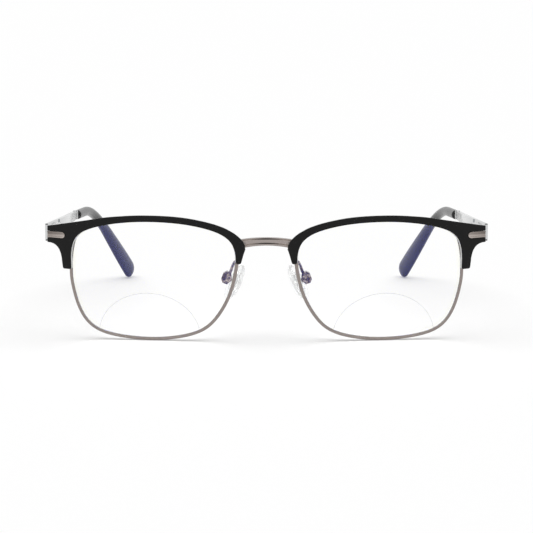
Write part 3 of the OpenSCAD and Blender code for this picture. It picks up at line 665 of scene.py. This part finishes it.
@dataclass(frozen=True)
class CurvedFront:
    """The ball that a lens and its plate are curved to, and where it stands."""

    side: Side
    ball_mm: float = 120.0
    eye_x: float = 35.0
    eye_y: float = -65.6201
    eye_z: float = 20.0467
    lean_deg: float = 5.3
    wrap_deg: float = 5.0
    plate_mm: float = 1.4
    segment_centre_mm: tuple[float, float] = (1.8, -19.2)
    segment_half_mm: tuple[float, float] = (16.0, 14.5)
    wall_least_mm: float = 0.01
    arc_share: float = 0.03

    def frame(self) -> Matrix:
        """Works out the lens's own frame, with its ball's top at the middle of the lens.

        Returns:
            The matrix from that frame to the glasses, in metres.
        """
        place = Matrix.Translation(Vector((self.eye_x, self.eye_y, self.eye_z)) * MM)
        lean = Matrix.Rotation(math.radians(self.lean_deg), 4, "X")
        wrap = Matrix.Rotation(math.radians(self.wrap_deg), 4, "Z")
        upright = Matrix.Rotation(math.radians(90), 4, "X")
        return Matrix.Diagonal((self.side.sign, 1, 1, 1)) @ place @ lean @ wrap @ upright

    def square_walls(self, shell: bmesh.types.BMesh) -> None:
        """Turns a plate's walls square to its curved face, with the front left as it is.

        Args:
            shell: The plate, in its place.
        """
        own = self.frame()
        back = own.inverted()
        centre = Vector((0, 0, -self.ball_mm)) * MM
        for vert in shell.verts:
            arm = back @ vert.co - centre
            reach = arm.length
            share = reach / ((self.ball_mm + self.plate_mm) * MM)
            flat = Vector((arm.x * share, arm.y * share))
            height = math.sqrt(reach**2 - flat.length_squared)
            vert.co = own @ (centre + Vector((flat.x, flat.y, height)))

    def flare_step(self, shell: bmesh.types.BMesh, flare_mm: float, step_mm: float) -> None:
        """Slopes the step round the reading segment, as its mould does so that the lens comes free.

        Args:
            shell: The lens, in its place.
            flare_mm: How far the foot of the step moves outwards.
            step_mm: Walls that reach no deeper than this are the step.
        """
        own = self.frame()
        back = own.inverted()
        centre = Vector(self.segment_centre_mm) * MM
        feet = set()
        for face in shell.faces:
            depths = {vert: self.depth_mm(back @ vert.co) for vert in face.verts}
            low, high = min(depths.values()), max(depths.values())
            if high - low > self.wall_least_mm and high < step_mm:
                feet.update(vert for vert, depth in depths.items() if depth > (low + high) / 2)
        for vert in feet:
            point = back @ vert.co
            arm = point.xy - centre
            share = math.hypot(arm.x / self.segment_half_mm[0], arm.y / self.segment_half_mm[1]) / MM
            if abs(share - 1) < self.arc_share:
                depth = self.depth_mm(point)
                flat = point.xy + arm.normalized() * flare_mm * MM
                ball = self.ball_mm * MM
                height = math.sqrt(ball**2 - flat.length_squared) - ball - depth * MM
                vert.co = own @ Vector((flat.x, flat.y, height))

    def mark_inner_wall(self, shell: bmesh.types.BMesh, inward: float, sideways: float) -> None:
        """Marks the parts of an eyewire's inner wall that look sideways across the lens, which take
        painted shade.

        Args:
            shell: The eyewire, in its place.
            inward: How squarely a face looks at the middle of the lens.
            sideways: How squarely it looks to the left or the right.
        """
        back = self.frame().inverted()
        turn = back.to_3x3()
        for face in shell.faces:
            towards = -(back @ face.calc_center_median()).xy.normalized()
            if (turn @ face.normal).xy.dot(towards) > inward and abs(face.normal.x) > sideways:
                face.material_index = 1

    def depth_mm(self, point: Vector) -> float:
        """Finds how far a point lies behind the curved front, in millimetres.

        Args:
            point: The point, in the lens's own frame.

        Returns:
            The depth.
        """
        ball = self.ball_mm * MM
        return (math.sqrt(ball**2 - point.xy.length_squared) - ball - point.z) / MM

    def polish_caps(self, thing: bpy.types.Object, middle_mm: float, step_mm: float) -> None:
        """Gives the lens's curved faces their ball's exact normals, and marks the segment's step.

        Args:
            thing: The lens, in its place.
            middle_mm: Depth of the middle of the lens, in front of which a face looks forwards.
            step_mm: Walls that reach no deeper than this are the step round the reading segment.
        """
        own = self.frame()
        back = own.inverted()
        turn = own.to_3x3()
        mesh = thing.data
        normals = []
        for polygon in mesh.polygons:
            points = [back @ mesh.vertices[index].co for index in polygon.vertices]
            depths = [self.depth_mm(point) for point in points]
            if max(depths) - min(depths) > self.wall_least_mm:
                normals.extend([polygon.normal.copy()] * len(points))
                polygon.material_index = 1 if max(depths) < step_mm else 0
                continue
            facing = 1.0 if depths[0] < middle_mm else -1.0
            for point in points:
                height = math.sqrt((self.ball_mm * MM) ** 2 - point.xy.length_squared)
                normals.append(turn @ (Vector((point.x, point.y, height)).normalized() * facing))
        mesh.normals_split_custom_set(normals)


@dataclass
class Assembly:
    """A sub-assembly of the glasses, which rides on CAD bodies."""

    pieces: list[bpy.types.Object] = field(default_factory=list, init=False)

    def stand_in(
        self, thing: bpy.types.Object, node: str, body: str, slot: Slot, *materials: bpy.types.Material
    ) -> bpy.types.Object:
        """Puts a new piece in the place of a CAD node.

        Args:
            thing: The new piece.
            node: The node that it stands for.
            body: The CAD body that it rides on.
            slot: The piece's material slot; not used.
            materials: Its materials.

        Returns:
            The piece.
        """
        paint(thing, *materials)
        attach(thing, body)
        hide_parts(node)
        self.pieces.append(thing)
        LOG.info("%s stands for %s on %s", thing.name, node, body)
        return thing

    def dress_node(self, node: str, material: bpy.types.Material) -> bpy.types.Object:
        """Gives a CAD node that stays its finish.

        Args:
            node: The node's name.
            material: Its finish.

        Returns:
            The node's object.
        """
        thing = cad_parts[node]
        paint(thing, material)
        self.pieces.append(thing)
        LOG.info("%s keeps its CAD shape", node)
        return thing


@dataclass
class Finishes:
    """Every finish of the glasses as a Blender material."""

    gunmetal: bpy.types.Material = field(default_factory=GUNMETAL.material)
    brushed: bpy.types.Material = field(default_factory=BRUSHED_GUNMETAL.material)
    silver: bpy.types.Material = field(default_factory=SILVER.material)
    nickel: bpy.types.Material = field(default_factory=NICKEL.material)
    screw: bpy.types.Material = field(default_factory=SCREW.material)
    pad_screw: bpy.types.Material = field(default_factory=PAD_SCREW.material)
    spring: bpy.types.Material = field(default_factory=SPRING.material)
    lacquer: bpy.types.Material = field(default_factory=LACQUER.material)
    acetate: bpy.types.Material = field(default_factory=ACETATE.material)
    lens: bpy.types.Material = field(default_factory=LENS_RESIN.material)
    step: bpy.types.Material = field(default_factory=STEP_RESIN.material)
    silicone: bpy.types.Material = field(default_factory=SILICONE.material)
    insert: bpy.types.Material = field(default_factory=POLYCARBONATE.material)
    groove: bpy.types.Material = field(default_factory=SHADED_GROOVE.material)
    bare: bpy.types.Material = field(default_factory=BARE_EDGE.material)
    trim: bpy.types.Material = field(default_factory=SHADED_TRIM.material)
    inner: bpy.types.Material = field(default_factory=SHADED_INNER_WALL.material)
    seam: bpy.types.Material = field(default_factory=SHADED_TEMPLE_END.material)
    ledge: bpy.types.Material = field(default_factory=SHADED_LEDGE.material)


@dataclass
class LensFront(Assembly):
    """The eyewires with their lenses, the bridge and what closes the split eyewires."""

    rounding_levels: int = 2
    bridge_crease: float = 30.0
    groove_turn: float = 15.0
    wall_inward: float = 0.8
    wall_sideways: float = 0.45
    lens_middle_mm: float = 1.0
    step_deep_mm: float = 0.15
    step_flare_mm: float = 0.12
    lens_sharp_deg: float = 20.0

    def mark_grooves(self, shell: bmesh.types.BMesh) -> None:
        """Marks the faces that meet in a valley, which are the walls of the bridge's grooves and take
        painted shade.

        Args:
            shell: The bridge.
        """
        least = math.radians(self.groove_turn)
        for edge in shell.edges:
            if len(edge.link_faces) == 2 and edge.calc_face_angle_signed() < -least:
                for face in edge.link_faces:
                    face.material_index = 1

    def build(self, finishes: Finishes) -> None:
        """Builds and dresses the pieces.

        Args:
            finishes: The materials.
        """
        for side in Side:
            curve = CurvedFront(side)
            ring = swept(side.node("eyewire"))
            curve.mark_inner_wall(ring, self.wall_inward, self.wall_sideways)
            wire = finish_piece(ring, side.node("eyewire_smooth"), SWEPT_SHARP_DEG)
            # The inner wall's sideways parts take the finish with painted shade
            plated = (finishes.gunmetal, finishes.inner)
            self.stand_in(wire, side.node("eyewire"), "front", Slot.GUNMETAL, *plated)
            soften(wire, self.rounding_levels)
            blank = cad_copy(side.node("lens"))
            curve.flare_step(blank, self.step_flare_mm, self.step_deep_mm)
            lens = finish_piece(blank, side.node("lens_coated"), self.lens_sharp_deg)
            curve.polish_caps(lens, self.lens_middle_mm, self.step_deep_mm)
            self.stand_in(lens, side.node("lens"), "front", Slot.LENS, finishes.lens, finishes.step)
            # Clear resin lets the light through, so it lays no shadow
            lens.visible_shadow = False
            for name in ("rim_lock_upper", "rim_lock_lower"):
                self.dress_node(side.node(name), finishes.gunmetal)
        self.dress_node("rim_lock_screws", finishes.screw)
        grooved = swept("bridge", self.bridge_crease)
        self.mark_grooves(grooved)
        bar = finish_piece(grooved, "bridge_smooth", SWEPT_SHARP_DEG)
        # The grooves' walls take the finish with painted shade
        self.stand_in(bar, "bridge", "front", Slot.GUNMETAL, finishes.brushed, finishes.groove)
        soften(bar, self.rounding_levels)


@dataclass
class BrowTrim(Assembly):
    """The black brow plates with their trim bars, and the endpieces behind them."""

    plate_edge_mm: float = 0.12
    trim_edge_mm: float = 0.08
    corner_edge_mm: float = 0.18
    face_turn: float = 0.5
    slot_low_mm: float = 31.9
    slot_high_mm: float = 34.6
    slot_in_mm: float = 62.2
    slot_out_mm: float = 68.1

    def is_face(self, polygon: bmesh.types.BMFace) -> bool:
        """Tells whether a face is lacquered: the plate's front, and the walls of the trim bar's slot,
        whose black also paints the shade in the gap round the bar.

        Args:
            polygon: A face of the plate.

        Returns:
            Whether it is lacquered.
        """
        middle = polygon.calc_center_median() / MM
        beside = self.slot_in_mm < abs(middle.x) < self.slot_out_mm
        in_slot = beside and self.slot_low_mm < middle.z < self.slot_high_mm
        return in_slot or polygon.normal.y < -self.face_turn

    def lacquer_face(self, shell: bmesh.types.BMesh) -> None:
        """Marks the lacquered faces of a plate, and leaves its walls and back as bare plate."""
        for polygon in shell.faces:
            polygon.material_index = 0 if self.is_face(polygon) else 1

    def build(self, finishes: Finishes) -> None:
        """Builds and dresses the pieces.

        Args:
            finishes: The materials.
        """
        for side in Side:
            shell = machined(side.node("brow_plate"), self.plate_edge_mm)
            self.lacquer_face(shell)
            curve = CurvedFront(side)
            curve.square_walls(shell)
            plate = finish_piece(shell, side.node("brow_plate_lacquered"), MACHINED_SHARP_DEG)
            coats = (finishes.lacquer, finishes.bare)
            self.stand_in(plate, side.node("brow_plate"), "front", Slot.LACQUER, *coats)
            stadium = machined(side.node("trim_bar"), self.trim_edge_mm)
            curve.square_walls(stadium)
            bar = finish_piece(stadium, side.node("trim_bar_brushed"), MACHINED_SHARP_DEG)
            # The trim bar's finish carries painted shade
            self.stand_in(bar, side.node("trim_bar"), "front", Slot.GUNMETAL, finishes.trim)
            lug = machined_piece(side.node("endpiece"), "broken", self.corner_edge_mm)
            self.stand_in(lug, side.node("endpiece"), "front", Slot.SILVER, finishes.silver)
            self.dress_node(side.node("plate_tab"), finishes.gunmetal)
        self.dress_node("brow_screws", finishes.screw)


@dataclass
class NoseRest(Assembly):
    """The nose pads with their hard inserts, on boxes at the ends of bent wire arms."""

    box_edge_mm: float = 0.3
    pad_length: float = 12.4
    pad_width: float = 7.0
    pad_thick: float = 2.2
    pad_taper: float = 0.12
    pad_skew: float = 0.18
    pad_out: float = 2.3
    pad_back: float = 1.2
    pad_down: float = 0.8
    lean_deg: float = 21.0
    splay_deg: float = 30.0
    screw_x: float = 11.9
    screw_from_front: float = 8.4
    screw_z: float = 19.147
    front_y: float = -65.62
    pad_rings: tuple[int, int] = (32, 16)
    pad_sharp_deg: float = 180.0
    pad_fullness: float = 0.8
    pad_bow: float = 0.12
    pad_fill: float = 0.94
    wire_levels: int = 2

    def pad_place(self, side: Side) -> Matrix:
        """Works out where a pad lies: its length, width and thickness become X, Y and Z.

        Args:
            side: The pad's side.

        Returns:
            The matrix from the pad's own frame, in metres.
        """
        screw_y = self.screw_from_front + self.front_y
        screw = Matrix.Translation(Vector((self.screw_x, screw_y, self.screw_z)) * MM)
        lean = Matrix.Rotation(-math.radians(self.lean_deg), 4, "Y")
        shift = Matrix.Translation(Vector((-self.pad_out, self.pad_back, -self.pad_down)) * MM)
        splay = Matrix.Rotation(-math.radians(self.splay_deg), 4, "Z")
        flat = Matrix.Rotation(-math.radians(90), 4, "Y")
        mirror = Matrix.Diagonal((side.sign, 1, 1, 1))
        return mirror @ screw @ lean @ shift @ splay @ flat

    def soft_pad(self, side: Side) -> bpy.types.Object:
        """Shapes one soft pad: a flattened ball, narrower at the top and swept back at the bottom.

        Args:
            side: The pad's side.

        Returns:
            The pad, in its place.
        """
        shell = bmesh.new()
        around, over = self.pad_rings
        bmesh.ops.create_uvsphere(shell, u_segments=around, v_segments=over, radius=1.0)
        half = Vector((self.pad_length, self.pad_width, self.pad_thick)) * (0.5 * MM)
        for vert in shell.verts:
            along, across, up = vert.co
            rim = math.hypot(along, across)
            lift = math.copysign(abs(up) ** self.pad_fullness, up) + self.pad_bow * rim * rim
            width = across * (1 - self.pad_taper * along) * half.y - self.pad_skew * along * half.x
            vert.co = Vector((along * half.x, width, lift * half.z * self.pad_fill))
        bmesh.ops.transform(shell, matrix=self.pad_place(side), verts=shell.verts)
        bmesh.ops.recalc_face_normals(shell, faces=shell.faces)
        return finish_piece(shell, side.node("nose_pad_silicone"), self.pad_sharp_deg)

    def build(self, finishes: Finishes) -> None:
        """Builds and dresses the pieces.

        Args:
            finishes: The materials.
        """
        for side in Side:
            body = side.node("pad")
            pad = self.soft_pad(side)
            self.stand_in(pad, side.node("nose_pad"), body, Slot.SILICONE, finishes.silicone)
            soften(pad, 1)
            self.dress_node(side.node("pad_insert"), finishes.insert)
            arm = swept_piece(side.node("pad_arm"), "wire")
            self.stand_in(arm, side.node("pad_arm"), "front", Slot.NICKEL, finishes.nickel)
            soften(arm, self.wire_levels)
            box = machined_piece(side.node("pad_box"), "polished", self.box_edge_mm)
            self.stand_in(box, side.node("pad_box"), "front", Slot.NICKEL, finishes.nickel)
        self.dress_node("pad_screws", finishes.pad_screw)


@dataclass
class SpringHinge(Assembly):
    """The hinges: knuckles, screws, and the sprung slide in its box."""

    knuckle_edge_mm: float = 0.08
    box_edge_mm: float = 0.2
    pin_mm: tuple[float, float, float] = (66.98, -55.202, 33.466)
    toe_in_deg: float = 1.6
    spring_start_mm: float = 2.48
    spring_keep: float = 0.79

    def press_spring(self, wire: bpy.types.Object, side: Side) -> None:
        """Gives a spring its own copy of its mesh, which stays as it is.

        Args:
            wire: The spring, in its place.
            side: The spring's side; not used.
        """
        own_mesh(wire)

    def build(self, finishes: Finishes) -> None:
        """Builds and dresses the pieces.

        Args:
            finishes: The materials.
        """
        for side in Side:
            temple = side.node("temple")
            leaf = machined_piece(side.node("hinge_leaf"), "turned", self.knuckle_edge_mm)
            self.stand_in(leaf, side.node("hinge_leaf"), "front", Slot.SILVER, finishes.silver)
            box = machined_piece(side.node("hinge_box"), "broken", self.box_edge_mm)
            self.stand_in(box, side.node("hinge_box"), temple, Slot.SILVER, finishes.silver)
            for name in ("hinge_slide", "hinge_stop", "hinge_cap"):
                self.dress_node(side.node(name), finishes.screw)
            wire = swept_piece(side.node("hinge_spring"), "wound")
            self.stand_in(wire, side.node("hinge_spring"), temple, Slot.SPRING, finishes.spring)
            soften(wire, 1)
            self.press_spring(wire, side)
        self.dress_node("hinge_screws", finishes.screw)


@dataclass
class TempleArm(Assembly):
    """The temples: tapered steel shank, collar and black tip."""

    shank_edge_mm: float = 0.2
    collar_edge_mm: float = 0.1
    cut_facing: float = 0.9
    seam_mm: float = 0.3
    tip_sharp_deg: float = 50.0
    tip_levels: int = 2

    def mark_cuts(self, shell: bmesh.types.BMesh) -> None:
        """Marks the cut faces of a shank, which take painted shade: its front end, and the ledge behind
        the spring box.

        Args:
            shell: The shank.
        """
        front = min(vert.co.y for vert in shell.verts)
        for face in shell.faces:
            if face.normal.y < -self.cut_facing:
                at_front = face.calc_center_median().y < front + self.seam_mm * MM
                face.material_index = 1 if at_front else 2

    def build(self, finishes: Finishes) -> None:
        """Builds and dresses the pieces.

        Args:
            finishes: The materials.
        """
        for side in Side:
            body = side.node("temple")
            bar = machined(side.node("temple"), self.shank_edge_mm)
            self.mark_cuts(bar)
            # The shank's front end and ledge take painted shade
            cut_steel = (finishes.silver, finishes.seam, finishes.ledge)
            shank = finish_piece(bar, side.node("temple_brushed"), MACHINED_SHARP_DEG)
            self.stand_in(shank, side.node("temple"), body, Slot.SILVER, *cut_steel)
            collar = machined_piece(side.node("temple_collar"), "broken", self.collar_edge_mm)
            self.stand_in(collar, side.node("temple_collar"), body, Slot.SILVER, finishes.silver)
            tip = swept_piece(side.node("temple_tip"), "polished", self.tip_sharp_deg)
            self.stand_in(tip, side.node("temple_tip"), body, Slot.TIP, finishes.acetate)
            soften(tip, self.tip_levels)
            # The satin shank is too dull to mirror the black mouth beside it
            tip.visible_glossy = False


@dataclass
class Studio:
    """White table, soft light, and the camera of the photograph."""

    eye: tuple[float, float, float] = (0.0, -605.62, 105.873)
    pitch_deg: float = 81.374
    lens_mm: float = 119.35
    sensor_mm: float = 36.0
    near_m: float = 0.01
    sky_for_surfaces: float = 0.16
    lamp_share: float = 0.86
    lamp_spread_deg: float = 80.0
    table_glow: float = 0.3
    table_m: float = 200.0
    table_squares: int = 8
    paper_mm: float = 2.0
    paper_octaves: float = 2.0
    table_sharp_deg: float = 30.0
    lamp_height_m: float = 1.0

    def camera(self) -> None:
        """Sets the camera where the photograph was taken from."""
        data = bpy.data.cameras.new("product_camera")
        data.lens = self.lens_mm
        data.sensor_width = self.sensor_mm
        data.clip_start = self.near_m
        data.clip_end = 2 * self.table_m
        camera = bpy.data.objects.new("product_camera", data)
        camera.location = Vector(self.eye) * MM
        camera.rotation_euler = Euler((math.radians(self.pitch_deg), 0.0, 0.0))
        bpy.context.scene.collection.objects.link(camera)
        bpy.context.scene.camera = camera

    @staticmethod
    def seen_directly(tree: bpy.types.NodeTree) -> bpy.types.NodeSocket:
        """Adds a switch that is on for camera, glossy and transmission rays.

        Args:
            tree: The tree that gets the nodes.

        Returns:
            The switch.
        """
        path = add_node(tree, "ShaderNodeLightPath")
        straight = {0: path.outputs["Is Camera Ray"], 1: path.outputs["Is Glossy Ray"]}
        either = add_node(tree, "ShaderNodeMath", straight, operation="MAXIMUM").outputs[0]
        through = {0: either, 1: path.outputs["Is Transmission Ray"]}
        return add_node(tree, "ShaderNodeMath", through, operation="MAXIMUM").outputs[0]

    def world(self) -> None:
        """Makes the white surroundings, softer as a light than as a background."""
        world = bpy.data.worlds.new("white_cove")
        world.use_nodes = True
        tree = world.node_tree
        tree.nodes.clear()
        strength = map_range(tree, self.seen_directly(tree), (0.0, 1.0), (self.sky_for_surfaces, 1.0))
        glow = {"Color": linear("#ffffff"), "Strength": strength}
        light = add_node(tree, "ShaderNodeBackground", glow)
        out = add_node(tree, "ShaderNodeOutputWorld")
        tree.links.new(light.outputs[0], out.inputs["Surface"])
        bpy.context.scene.world = world

    def table(self) -> None:
        """Makes the white table top, which keeps a faint shadow."""
        shell = bmesh.new()
        squares = self.table_squares
        bmesh.ops.create_grid(shell, x_segments=squares, y_segments=squares, size=self.table_m)
        top = finish_piece(shell, "table_top", self.table_sharp_deg)
        material, tree, out = empty_material("white_laminate_top")
        paper = grain(tree, (self.paper_mm,) * 3, self.paper_octaves)
        shade = mix_colours(tree, paper.outputs["Fac"], "#fbfbfb", "#fdfdfd")
        face = add_node(tree, "ShaderNodeBsdfDiffuse", {"Color": shade})
        glow = add_node(tree, "ShaderNodeEmission", {"Color": linear("#ffffff"), "Strength": 1.0})
        lit = {0: self.seen_directly(tree), 1: self.table_glow}
        share = add_node(tree, "ShaderNodeMath", lit, operation="MULTIPLY")
        both = {0: share.outputs[0], 1: face.outputs[0], 2: glow.outputs[0]}
        mixed = add_node(tree, "ShaderNodeMixShader", both)
        tree.links.new(mixed.outputs[0], out.inputs["Surface"])
        paint(top, material)

    def overhead_light(self) -> None:
        """Hangs a broad, even light over the table, which lays the soft shadows under the glasses."""
        data = bpy.data.lights.new("overhead_panel", "SUN")
        data.energy = self.lamp_share * math.pi
        data.angle = math.radians(self.lamp_spread_deg)
        lamp = bpy.data.objects.new("overhead_panel", data)
        lamp.location = (0.0, 0.0, self.lamp_height_m)
        lamp.visible_glossy = False
        bpy.context.scene.collection.objects.link(lamp)

    def build(self) -> None:
        """Sets up the table, the lights and the camera."""
        self.camera()
        self.world()
        self.table()
        self.overhead_light()
        bpy.context.scene.view_settings.view_transform = "Standard"


def main() -> None:
    """Builds and dresses every sub-assembly, then the studio."""
    logging.basicConfig(level=logging.INFO, format="%(name)s: %(message)s")
    Studio().build()
    finishes = Finishes()
    for assembly in (LensFront(), BrowTrim(), NoseRest(), SpringHinge(), TempleArm()):
        assembly.build(finishes)
        LOG.info("%s has %d pieces", type(assembly).__name__, len(assembly.pieces))


if __name__ == "__main__":
    main()
